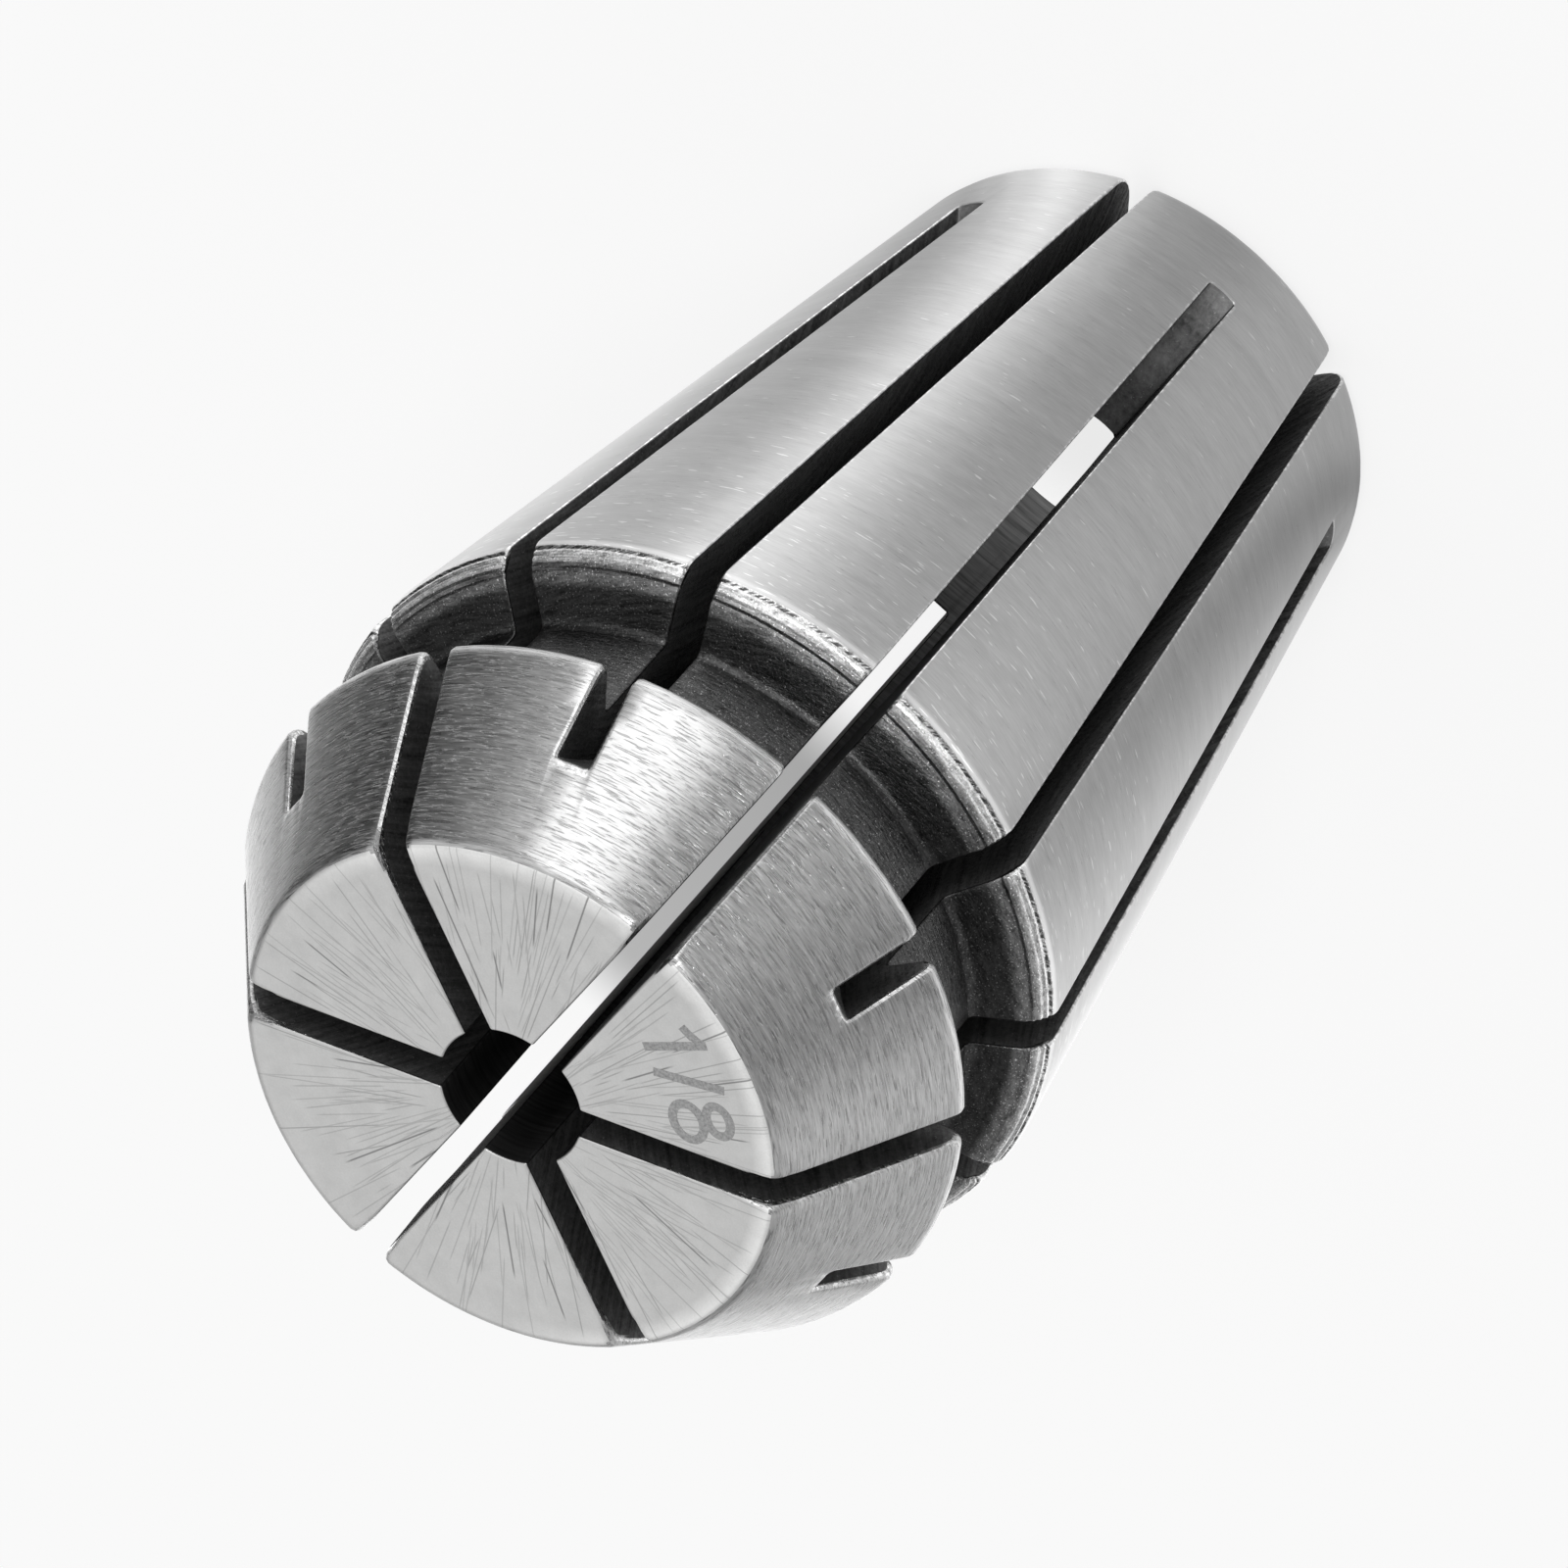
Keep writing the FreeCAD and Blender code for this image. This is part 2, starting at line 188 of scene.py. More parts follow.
class StudioSettings(bpy.types.PropertyGroup):
    view_azimuth: angle_of("View azimuth", "Direction of the camera around the collet", 121.47)
    view_elevation: angle_of("View elevation", "Height angle of the camera", 45.14)
    view_roll: angle_of("View roll", "Turn of the camera about its line of sight", 138.84)
    view_distance: length_of("View distance", "From the camera to the aim point", 0.38986)
    aim_height: length_of("Aim height", "Height of the aim point on the axis", 0.01569)
    lens: bpy.props.FloatProperty(
        name="Lens", description="Focal length in millimetres", default=438.4, min=1
    )
    floor_size: length_of("Floor size", "Side of the square floor", 3.0)
    floor_gap: length_of("Floor gap", "From the floor up to the part", 0.00005)
    floor_colour: colour_of("Floor", "Colour of the floor", (0.95, 0.95, 0.95))
    shade_colour: colour_of("Shade", "Colour of the shadow behind the part", (0.03, 0.03, 0.03))
    floor_glow: share_of("Floor glow", "How far the camera sees the floor as plain white", 0.8)
    eye_height: length_of("Eye height", "Height from which the part's metal sees the floor", 0.02)
    ambient: share_of("Ambient", "Brightness of the world as matt surfaces see it", 0.75)
    face_light: bpy.props.FloatProperty(
        name="Face light", description="Brightness of the softbox before the nose face",
        default=0.62, min=0,
    )
    key_light: bpy.props.FloatProperty(
        name="Key light", description="Brightness of the small lamp above the camera",
        default=16, min=0,
    )
    strip_light: bpy.props.FloatProperty(
        name="Strip light", description="Brightness of the tall softbox beside the part",
        default=1.9, min=0,
    )


class TurnedSection:
    """Half section of the turned body, in millimetres."""

    def __init__(self, sizes):
        self.sizes = sizes
        self.length = sizes.overall_length / MM
        self.pitch = math.tau / sizes.slot_count
        self.gauge_height = self.length - sizes.gauge_depth / MM
        self.nose_radius = sizes.nose_radius / MM
        self.head_height = self.length - sizes.nose_length / MM
        self.head_radius = self.nose_radius_at(self.head_height)
        self.groove_radius = sizes.groove_radius / MM
        self.foot_height = self.head_height - sizes.groove_width / MM
        lean = math.tan(sizes.shoulder_lean)
        wall = self.seat_radius_at(self.foot_height) - self.groove_radius
        wall = wall / (1 + lean * math.tan(sizes.seat_angle))
        self.shoulder_radius = self.groove_radius + wall
        self.shoulder_height = self.foot_height - wall * lean
        self.bore_radius = sizes.bore_radius / MM
        self.bore_end = self.length - sizes.bore_length / MM
        self.relief_radius = sizes.relief_radius / MM
        cone = (self.relief_radius - self.bore_radius) / math.tan(sizes.relief_angle)
        self.relief_end = self.bore_end - cone
        self.front_web = sizes.front_web / MM
        self.rear_end = self.length - sizes.rear_web / MM

    def seat_radius_at(self, height):
        drop = (self.gauge_height - height) * math.tan(self.sizes.seat_angle)
        return self.sizes.gauge_radius / MM - drop

    def nose_radius_at(self, height):
        return self.nose_radius + (self.length - height) * math.tan(self.sizes.nose_angle)

    def break_at(self, radius, height):
        """Width of the broken edge of a slot at a place on the section."""
        sizes = self.sizes
        off_cone = self.nose_radius_at(height) - radius
        corners = (
            (self.head_radius, self.head_height), (self.nose_radius, self.length),
            (self.shoulder_radius, self.shoulder_height),
        )
        away = min(math.dist((radius, height), corner) for corner in corners)
        cone = (sizes.nose_break - sizes.edge_break) * math.exp(-((off_cone / CORNER_REACH) ** 2))
        corner = (sizes.corner_break - sizes.nose_break) * math.exp(-((away / CORNER_REACH) ** 2))
        return (sizes.edge_break + cone + corner) / MM

    def zone_at(self, radius, height):
        """Name of the finish at a place on the section."""
        if height > self.length - FACED_REACH:
            return "faced"
        if radius < self.relief_radius + BORED_REACH:
            return "bored"
        if height > self.head_height + NOSE_START:
            return "nose"
        if height > self.shoulder_height - TURNED_REACH:
            return "turned"
        return "seat"

    def corners(self):
        """(radius, height, round) of each corner: up the outside and back down the bore."""
        sizes = self.sizes
        chamfer = sizes.relief_chamfer / MM
        soft = sizes.bore_round / MM
        yield (self.relief_radius + chamfer, 0, soft)
        yield (self.seat_radius_at(0), 0, sizes.tail_round / MM)
        drops = [self.shoulder_height * share for share in SEAT_DROPS]
        for drop in drops + list(reversed(CORNER_STEPS)):
            height = self.shoulder_height - drop
            yield (self.seat_radius_at(height), height, 0)
        yield (self.shoulder_radius, self.shoulder_height, sizes.shoulder_round / MM)
        yield (self.groove_radius, self.foot_height, sizes.groove_round / MM)
        yield (self.groove_radius, self.head_height, sizes.groove_round / MM / 2)
        for step in reversed(CORNER_STEPS):
            yield (self.head_radius - step, self.head_height, 0)
        yield (self.head_radius, self.head_height, sizes.head_round / MM)
        heights = [self.head_height + step for step in CORNER_STEPS]
        heights += [self.length - step * NOSE_STEP_SHARE for step in reversed(CORNER_STEPS)]
        for height in heights:
            yield (self.nose_radius_at(height), height, 0)
        yield (self.nose_radius, self.length, sizes.nose_round / MM)
        for step in (*CORNER_STEPS, *FACE_STEPS):
            yield (self.nose_radius - step, self.length, 0)
        yield (self.bore_radius, self.length, soft)
        yield (self.bore_radius, self.bore_end, 0)
        yield (self.relief_radius, self.relief_end, 0)
        yield (self.relief_radius, self.relief_end / 2, 0)
        yield (self.relief_radius, chamfer, soft)

    def outline(self):
        """Closed outline with rounded corners and the tool rings on the shoulder."""
        corners = list(self.corners())
        points = []
        for index, corner in enumerate(corners):
            ahead = corners[(index + 1) % len(corners)]
            if corner[1] == self.shoulder_height:
                points.extend(self.ringed_shoulder(corners[index - 1], corner, ahead))
            else:
                points.extend(rounded(corners[index - 1], corner, ahead, ARC_STEPS))
        return points

    def ringed_shoulder(self, before, corner, ahead):
        """Round of the shoulder and the wall's start, with the rings that the tool left there."""
        pitch = self.sizes.ring_pitch / MM
        depth = self.sizes.ring_depth / MM
        step = pitch / RING_STEPS
        smooth = self.sizes.smooth_lead / MM
        arc_length = corner[2] * self.shoulder_sweep()
        arc = rounded(before, corner, ahead, round(arc_length / step))
        run_out = smooth + self.sizes.ring_count * pitch - arc_length
        along = (Vector(ahead[:2]) - arc[-1]).normalized()
        wall = [arc[-1] + along * step * (index + 1) for index in range(round(run_out / step))]
        path = arc + wall
        for index, (here, following) in enumerate(zip(path, path[1:])):
            rings = (index * step - smooth) / pitch
            outward = Vector((following.y - here.y, here.x - following.x)).normalized()
            dip = depth * (0.5 - 0.5 * math.cos(math.tau * rings)) if rings > 0 else 0
            yield here - outward * dip
        yield path[-1]

    def shoulder_sweep(self):
        return math.pi / 2 - self.sizes.shoulder_lean + self.sizes.seat_angle


def rounded(before, corner, ahead, steps):
    """Points of one corner of an outline: the corner itself, or its arc where it has a round."""
    place = Vector(corner[:2])
    rounding = corner[2]
    if not rounding:
        return [place]
    back = (Vector(before[:2]) - place).normalized()
    forth = (Vector(ahead[:2]) - place).normalized()
    opening = back.angle(forth)
    centre = place + (back + forth).normalized() * rounding / math.sin(opening / 2)
    start = place + back * rounding / math.tan(opening / 2) - centre
    sweep = (math.pi - opening) * (1 if back.cross(forth) < 0 else -1)
    turns = (Matrix.Rotation(sweep * step / steps, 2) for step in range(steps + 1))
    return [centre + turn @ start for turn in turns]


def only(piece):
    """Make one object the only selected one, and active."""
    bpy.ops.object.select_all(action="DESELECT")
    piece.select_set(True)
    bpy.context.view_layer.objects.active = piece


def start_piece(name, primitive, **settings):
    """Add a primitive with nothing else selected."""
    bpy.ops.object.select_all(action="DESELECT")
    primitive(**settings)
    piece = bpy.context.object
    piece.name = name
    piece.data.name = name
    return piece


def apply_place():
    """Put the place, turn and scale of the selected pieces into their meshes."""
    bpy.ops.object.transform_apply(location=True, rotation=True, scale=True)


def join_to(target, pieces):
    """Join pieces, all into one of them."""
    bpy.ops.object.select_all(action="DESELECT")
    for piece in pieces:
        piece.select_set(True)
    bpy.context.view_layer.objects.active = target
    bpy.ops.object.join()
    return target


def enter_edit():
    bpy.ops.object.mode_set(mode="EDIT")
    bpy.ops.mesh.select_all(action="SELECT")


def leave_edit():
    bpy.ops.object.mode_set(mode="OBJECT")


def face_outwards():
    """Turn every face outwards, as the last step in edit mode."""
    bpy.ops.mesh.select_all(action="SELECT")
    bpy.ops.mesh.normals_make_consistent(inside=False)
    leave_edit()


def pick_edges(piece, wanted):
    """Enter edit mode with only those edges selected whose two ends pass a test."""
    only(piece)
    enter_edit()
    bpy.ops.mesh.select_all(action="DESELECT")
    leave_edit()
    for edge in piece.data.edges:
        edge.select = wanted(*(piece.data.vertices[index].co for index in edge.vertices))
    bpy.ops.object.mode_set(mode="EDIT")


def finish_modifier(piece, kind, **settings):
    """Add a modifier with these settings and apply it."""
    only(piece)
    modifier = piece.modifiers.new(kind.title(), kind)
    for name, value in settings.items():
        setattr(modifier, name, value)
    bpy.ops.object.modifier_apply(modifier=modifier.name)


def turn_blank(name, outline):
    """Draw the half section point by point and spin it about the Z axis."""
    piece = start_piece(name, bpy.ops.mesh.primitive_plane_add, size=1)
    enter_edit()
    bpy.ops.mesh.merge(type="CENTER")
    bpy.ops.transform.translate(value=(outline[0].x, 0, outline[0].y))
    for here, ahead in zip(outline, outline[1:] + outline[:1]):
        step = (ahead.x - here.x, 0, ahead.y - here.y)
        bpy.ops.mesh.extrude_vertices_move(TRANSFORM_OT_translate={"value": step})
    bpy.ops.mesh.select_all(action="SELECT")
    bpy.ops.mesh.remove_doubles(threshold=SAME_POINT)
    bpy.ops.mesh.spin(
        steps=TURNING_STEPS, angle=math.tau, use_auto_merge=True,
        center=(0, 0, 0), axis=(0, 0, 1),
    )
    bpy.ops.mesh.select_all(action="SELECT")
    bpy.ops.mesh.remove_doubles(threshold=SAME_POINT)
    face_outwards()
    return piece


def clear_meridians(piece, section):
    """Dissolve the meridian edges that run close beside the saw cuts, outside the relief."""
    sector = section.pitch / 2
    inside = section.relief_radius + CLEARED_OUTSIDE

    def beside_cut(first, last):
        azimuth = math.atan2(first.y, first.x)
        turn = abs(azimuth - math.atan2(last.y, last.x))
        if min(turn, math.tau - turn) > SAME_POINT:
            return False
        off_plane = abs(azimuth - sector * round(azimuth / sector))
        outside = min(first.xy.length, last.xy.length) >= inside
        return outside and CLEARED_FROM < off_plane < CLEARED_TO

    pick_edges(piece, beside_cut)
    bpy.ops.mesh.select_mode(type="EDGE")
    bpy.ops.mesh.dissolve_edges(use_verts=True)
    leave_edit()


def round_rims(saw, radius):
    """Round the two rims of a saw that stands across the Y axis."""
    pick_edges(saw, lambda first, last: abs(first.y - last.y) < SAME_POINT)
    bpy.ops.mesh.bevel(offset=radius, segments=2, affect="EDGES")
    leave_edit()


def make_saw(name, floor, centre_height, toward, reach, sizes):
    """One saw with its straight travel, in the XZ plane; it moves towards +Z where toward is 1."""
    radius = sizes.saw_radius / MM
    saw = start_piece(
        name, bpy.ops.mesh.primitive_cylinder_add, vertices=SAW_STEPS, radius=radius,
        depth=sizes.slot_width / MM, location=(floor + radius, 0, centre_height),
        rotation=(math.pi / 2, 0, 0),
    )
    apply_place()
    round_rims(saw, sizes.saw_corner / MM)
    enter_edit()
    bpy.ops.mesh.bisect(
        plane_co=(0, 0, centre_height), plane_no=(0, 0, toward), clear_inner=True, use_fill=True
    )
    travel = (0, 0, reach - centre_height)
    bpy.ops.mesh.extrude_region_move(TRANSFORM_OT_translate={"value": travel})
    bpy.ops.mesh.select_all(action="SELECT")
    bpy.ops.mesh.bisect(
        plane_co=(SAW_START, 0, 0), plane_no=(1, 0, 0), clear_inner=True, use_fill=True
    )
    face_outwards()
    return saw


def rim_rise(radius, depth):
    """Height between a saw's centre and its rim, at a depth outside the slot floor."""
    return math.sqrt(radius ** 2 - (radius - depth) ** 2)


def make_saws(section):
    """Both rings of saws, joined as one cutter."""
    sizes = section.sizes
    radius = sizes.saw_radius / MM
    front_depth = section.seat_radius_at(section.front_web)
    front_centre = section.front_web + rim_rise(radius, front_depth)
    rear_floor = sizes.rear_floor / MM
    rear_depth = section.nose_radius_at(section.rear_end) - rear_floor
    rear_centre = section.rear_end - rim_rise(radius, rear_depth)
    front = make_saw("front_saw", 0, front_centre, -1, section.length + PAST_END, sizes)
    rear = make_saw("rear_saw", rear_floor, rear_centre, 1, -PAST_END, sizes)
    saws = []
    for pattern, offset in ((front, 0), (rear, section.pitch / 2)):
        for index in range(sizes.slot_count):
            only(pattern)
            bpy.ops.object.duplicate()
            bpy.ops.transform.rotate(
                value=offset + section.pitch * index, orient_axis="Z", center_override=(0, 0, 0)
            )
            apply_place()
            saws.append(bpy.context.object)
        bpy.data.objects.remove(pattern)
    return join_to(saws[0], saws)


def cut_slots(piece, saws):
    """Cut all the slots at once; the walls take the saws' material."""
    finish_modifier(
        piece, "BOOLEAN", operation="DIFFERENCE", solver="EXACT", object=saws,
        material_mode="TRANSFER",
    )
    bpy.data.objects.remove(saws)


def break_slot_edges(piece, section, sawn):
    """Break the edges where a sawn wall meets a turned surface, more at the outer corners."""
    mesh = piece.data
    walls = {}
    for face in mesh.polygons:
        for key in face.edge_keys:
            walls.setdefault(key, set()).add(face.material_index == sawn)
    broken = [edge for edge in mesh.edges if len(walls.get(edge.key, ())) == 2]
    weights = mesh.attributes.new("bevel_weight_edge", "FLOAT", "EDGE")
    widest = section.sizes.corner_break / MM
    for edge in broken:
        middle = sum((mesh.vertices[index].co for index in edge.vertices), Vector()) / 2
        weights.data[edge.index].value = section.break_at(middle.xy.length, middle.z) / widest
    finish_modifier(
        piece, "BEVEL", width=widest, segments=3, limit_method="WEIGHT", offset_type="WIDTH",
        use_clamp_overlap=False, miter_outer="MITER_SHARP", loop_slide=True, material=0,
    )


def finish_surface(piece, section, names):
    """Give each zone of the turned body its own finish; the sawn walls keep theirs."""
    for face in piece.data.polygons:
        if names[face.material_index] != "sawn":
            zone = section.zone_at(face.center.xy.length, face.center.z)
            face.material_index = names.index(zone)


def splay_segments(piece, section):
    """Stand each segment between two front slots a little out of line, more at the nose."""
    amount = section.sizes.splay / MM
    for vertex in piece.data.vertices:
        rise = (vertex.co.z - section.front_web) / (section.length - section.front_web)
        if rise <= 0:
            continue
        azimuth = math.atan2(vertex.co.y, vertex.co.x) % math.tau
        index = int(azimuth / section.pitch) % section.sizes.slot_count
        side = (index + 0.5) * section.pitch + math.pi / 2
        shift = amount * SPLAY_SHARES[index % len(SPLAY_SHARES)] * rise ** 2
        vertex.co.x += shift * math.cos(side)
        vertex.co.y += shift * math.sin(side)


def smooth_surface(piece):
    only(piece)
    bpy.ops.object.shade_smooth_by_angle(angle=SMOOTH_ANGLE)
    finish_modifier(piece, "WEIGHTED_NORMAL", keep_sharp=True, weight=60, mode="FACE_AREA")


def settle(piece):
    """Bring a piece from millimetres to metres, with its place in its mesh."""
    only(piece)
    piece.scale = (MM, MM, MM)
    apply_place()


def shaded(colour, factor):
    """The same colour, darker or brighter."""
    return [min(1, channel * factor) for channel in colour]


class Nodes:
    """Adds nodes and links to one node tree."""

    def __init__(self, tree):
        self.tree = tree
        tree.nodes.clear()

    def add(self, kind, inputs=None, **settings):
        node = self.tree.nodes.new(kind)
        for name, value in settings.items():
            setattr(node, name, value)
        for name, value in (inputs or {}).items():
            self.feed(node.inputs[name], value)
        return node

    def feed(self, socket, value):
        if isinstance(value, bpy.types.NodeSocket):
            self.tree.links.new(value, socket)
        else:
            socket.default_value = value

    def operate(self, kind, operation, values):
        """Add a node of arithmetic with its inputs in order."""
        node = self.add(kind, operation=operation)
        for socket, value in zip(node.inputs, values):
            self.feed(socket, value)
        return node.outputs

    def math(self, operation, *values):
        return self.operate("ShaderNodeMath", operation, values)[0]

    def vector(self, operation, *values):
        return self.operate("ShaderNodeVectorMath", operation, values)[0]

    def length(self, vector):
        return self.operate("ShaderNodeVectorMath", "LENGTH", [vector])["Value"]

    def product(self, first, *others):
        """Product of two or more numbers."""
        for other in others:
            first = self.math("MULTIPLY", first, other)
        return first

    def inverse(self, share):
        """What a share leaves of one."""
        return self.math("SUBTRACT", 1.0, share)

    def weighed(self, first, share, second):
        """Sum of two tones, of which the first has this share."""
        return self.math("ADD", self.product(first, share), self.product(second, 1 - share))

    def split(self, vector):
        """The three parts of a vector."""
        return self.add("ShaderNodeSeparateXYZ", {"Vector": vector}).outputs

    def combine(self, x, y, z):
        return self.add("ShaderNodeCombineXYZ", {"X": x, "Y": y, "Z": z}).outputs[0]

    def ramp(self, value, low, high, out_low=0.0, out_high=1.0):
        """Straight rise of a value between two limits, held outside them."""
        inputs = {
            "Value": value, "From Min": low, "From Max": high,
            "To Min": out_low, "To Max": out_high,
        }
        return self.add("ShaderNodeMapRange", inputs).outputs[0]

    def step(self, value, low, high):
        """Smooth rise from 0 to 1 between two limits, or fall where the first is the higher."""
        inputs = {"Value": value, "From Min": low, "From Max": high}
        return self.add("ShaderNodeMapRange", inputs, interpolation_type="SMOOTHSTEP").outputs[0]

    def noise(self, vector, scale=1.0, detail=2.0, roughness=0.5):
        inputs = {"Vector": vector, "Scale": scale, "Detail": detail, "Roughness": roughness}
        return self.add("ShaderNodeTexNoise", inputs).outputs[0]

    def white(self, vector):
        """Random value and colour of one cell."""
        return self.add("ShaderNodeTexWhiteNoise", {"Vector": vector}).outputs

    def between(self, share, first, second):
        """Mix of two numbers."""
        return self.add("ShaderNodeMix", {"Factor": share, "A": first, "B": second}).outputs[0]

    def blend(self, share, first, second):
        """Mix of two colours."""
        node = self.add("ShaderNodeMix", data_type="RGBA")
        self.feed(node.inputs[0], share)
        for socket, value in ((node.inputs[6], first), (node.inputs[7], second)):
            self.feed(socket, value if isinstance(value, bpy.types.NodeSocket) else (*value, 1))
        return node.outputs[2]

    def cover(self, colour, mask, share, other):
        """A colour that another one covers where a mask is set, up to a share."""
        return self.blend(self.product(mask, share), colour, other)

    def shades(self, tone, colour, dark, light, low=0.3, high=0.7):
        """From a darker to a lighter shade of a colour, as a tone rises between two limits."""
        return self.blend(self.ramp(tone, low, high), shaded(colour, dark), shaded(colour, light))

    def emission(self, strength):
        return self.add("ShaderNodeEmission", {"Strength": strength}).outputs[0]

    def mix_shaders(self, share, first, second):
        node = self.add("ShaderNodeMixShader", {"Fac": share})
        self.feed(node.inputs[1], first)
        self.feed(node.inputs[2], second)
        return node.outputs[0]

    def ray_kinds(self):
        """Whether a ray comes from the camera, and whether it is one that metal mirrors."""
        rays = self.add("ShaderNodeLightPath").outputs
        mirrored = self.math("MAXIMUM", rays["Is Glossy Ray"], rays["Is Transmission Ray"])
        return rays["Is Camera Ray"], mirrored


WHITE = (1.0, 1.0, 1.0)
# Colour of the light that only grazes the dark steel inside the bore and the slots.
DARK_RIM = (0.1, 0.1, 0.1)
# Bright line beside the slots, partly wear and partly a painted highlight of the broken edges:
# half width of a slot at its broken edge, width of the rough line beside it, how far the line
# fades out at its ends, and how far it runs past a rear slot.
EDGE_LINE_FROM, EDGE_LINE_WIDTH, EDGE_LINE_FADE, EDGE_LINE_PAST = 0.33, 0.1, 0.1, 0.2


class SteelShader(Nodes):
    """Node tree of one steel finish, with the place on the turned body in millimetres."""

    def __init__(self, name):
        self.material = bpy.data.materials.new(name)
        self.material.use_nodes = True
        super().__init__(self.material.node_tree)
        place = self.add("ShaderNodeTexCoord").outputs["Object"]
        self.place = self.vector("MULTIPLY", place, (1 / MM, 1 / MM, 1 / MM))
        self.x, self.y, self.height = self.split(self.place)
        squares = self.math("ADD", self.product(self.x, self.x), self.product(self.y, self.y))
        self.radius = self.math("SQRT", squares)
        self.azimuth = self.math("ARCTAN2", self.y, self.x)

    def around(self):
        """Direction around the axis, for the anisotropy of turned and ground surfaces."""
        turned = self.combine(self.product(self.y, -1), self.x, 0)
        node = self.add(
            "ShaderNodeVectorTransform", {"Vector": self.vector("NORMALIZE", turned)},
            vector_type="VECTOR", convert_from="OBJECT", convert_to="WORLD",
        )
        return node.outputs[0]

    def streaks(self, along, across, detail=2.0, roughness=0.6):
        """Noise drawn out around the axis, with so many cells per millimetre each way."""
        vector = self.combine(
            self.product(self.azimuth, self.radius, along), self.product(self.height, across),
            self.product(self.radius, across / 4),
        )
        return self.noise(vector, detail=detail, roughness=roughness)

    def edge_wear_and_highlight(self, first, last, offset, pitch):
        """Rough bright line beside the walls of one ring of slots, between two heights: partly wear,
        partly a painted highlight.
        """
        sector = self.math("DIVIDE", self.math("SUBTRACT", self.azimuth, offset), pitch)
        turn = self.math("SUBTRACT", sector, self.math("ROUND", sector))
        aside = self.product(turn, pitch, self.radius)
        gap = self.math("SUBTRACT", self.math("ABSOLUTE", aside), EDGE_LINE_FROM)
        line = self.inverse(self.step(gap, 0.02, EDGE_LINE_WIDTH))
        rough = self.step(self.noise(self.place, scale=7, detail=2, roughness=0.7), 0.45, 0.6)
        begun = self.step(self.height, first, first + EDGE_LINE_FADE)
        ended = self.step(self.height, last, last - EDGE_LINE_FADE)
        return self.product(line, rough, self.product(begun, ended))

    def slot_wear_and_highlights(self, section):
        """Bright lines beside both rings of slots, along the length of each ring: partly wear,
        partly a painted highlight.
        """
        pitch = section.pitch
        front_start, front_end = section.front_web + EDGE_LINE_FADE, section.length + PAST_END
        front = self.edge_wear_and_highlight(front_start, front_end, 0, pitch)
        rear = self.edge_wear_and_highlight(-PAST_END, section.rear_end + EDGE_LINE_PAST, pitch / 2, pitch)
        return self.math("MAXIMUM", front, rear)

    def finish(self, colour, roughness, anisotropy, height, depth, rim=WHITE):
        """Close the tree with a metal surface whose relief has this depth in millimetres.

        The rim colour is that of light which only grazes the surface.
        """
        bump = self.add("ShaderNodeBump", {
            "Height": height, "Distance": depth * MM, "Strength": 1.0,
        })
        metal = self.add("ShaderNodeBsdfPrincipled", {
            "Base Color": colour, "Metallic": 1.0, "Roughness": roughness,
            "Anisotropic": anisotropy, "Anisotropic Rotation": 0.25,
            "Normal": bump.outputs[0], "Specular Tint": (*rim, 1),
        })
        if anisotropy:
            self.feed(metal.inputs["Tangent"], self.around())
        self.add("ShaderNodeOutputMaterial", {"Surface": metal.outputs[0]})
        return self.material


# Heights between which the bright dashes of the seat taper grow more frequent.
DASHES_RISE = (12, 20)


def ground_steel(finish, section):
    """Seat taper: fine grinding lines around the axis and a few bright dashes."""
    shader = SteelShader("seat")
    fine = shader.streaks(2.2, 26)
    broad = shader.streaks(0.35, 2.4)
    near = shader.ramp(shader.height, *DASHES_RISE, -0.04, 0.05)
    level = shader.math("ADD", shader.streaks(2.6, 17, detail=0), near)
    dashes = shader.step(level, 0.76, 0.82)
    colour = shader.shades(shader.weighed(fine, 0.6, broad), finish.ground, 0.86, 1.12)
    colour = shader.cover(colour, dashes, 0.45, WHITE)
    # Bright line beside the slots: partly wear, partly a painted highlight of the broken edges.
    colour = shader.cover(colour, shader.slot_wear_and_highlights(section), 0.8, WHITE)
    roughness = shader.ramp(fine, 0.25, 0.75, 0.27, 0.36)
    return shader.finish(colour, roughness, 0.5, fine, 0.0006)


def nose_steel(finish, section):
    """Nose cone: coarse brushed lines around the axis."""
    shader = SteelShader("nose")
    coarse = shader.streaks(1.7, 26, detail=3.0)
    dashes = shader.step(shader.streaks(2.2, 34, detail=1.0), 0.57, 0.66)
    colour = shader.shades(coarse, finish.ground, 0.72, 1.28)
    # Bright line beside the slots: partly wear, partly a painted highlight of the broken edges.
    colour = shader.cover(colour, shader.slot_wear_and_highlights(section), 0.7, WHITE)
    colour = shader.cover(colour, dashes, 0.6, shaded(finish.ground, 0.35))
    height = shader.math("SUBTRACT", coarse, shader.product(dashes, 0.8))
    roughness = shader.ramp(coarse, 0.3, 0.7, 0.24, 0.36)
    return shader.finish(colour, roughness, 0.75, height, 0.007)


# Span within which the centres of the scratch fans lie, how far from its centre a scratch starts,
# how long it is, and over what length it fades.
FAN_SPAN, SCRATCH_START, SCRATCH_LENGTH, SCRATCH_FADE = 1.3, (1.4, 4.2), (0.6, 3.2), 0.3
# (seed, places around, share of the places that carry a scratch, width, strength)
SCRATCH_LAYERS = (
    (1.5, 90, 0.3, 0.028, 1.0), (2.5, 150, 0.5, 0.02, 0.6), (3.5, 220, 0.5, 0.02, 0.4),
    (4.5, 180, 0.5, 0.022, 0.45), (5.5, 240, 0.45, 0.02, 0.35),
)
# Painted highlight on the rim of the nose face, on one side only: radii at which it starts and is
# brightest, and places along Y at which it starts and is in full.
HIGHLIGHT_RIM, HIGHLIGHT_SIDE = (5.5, 5.88), (-4, 1)


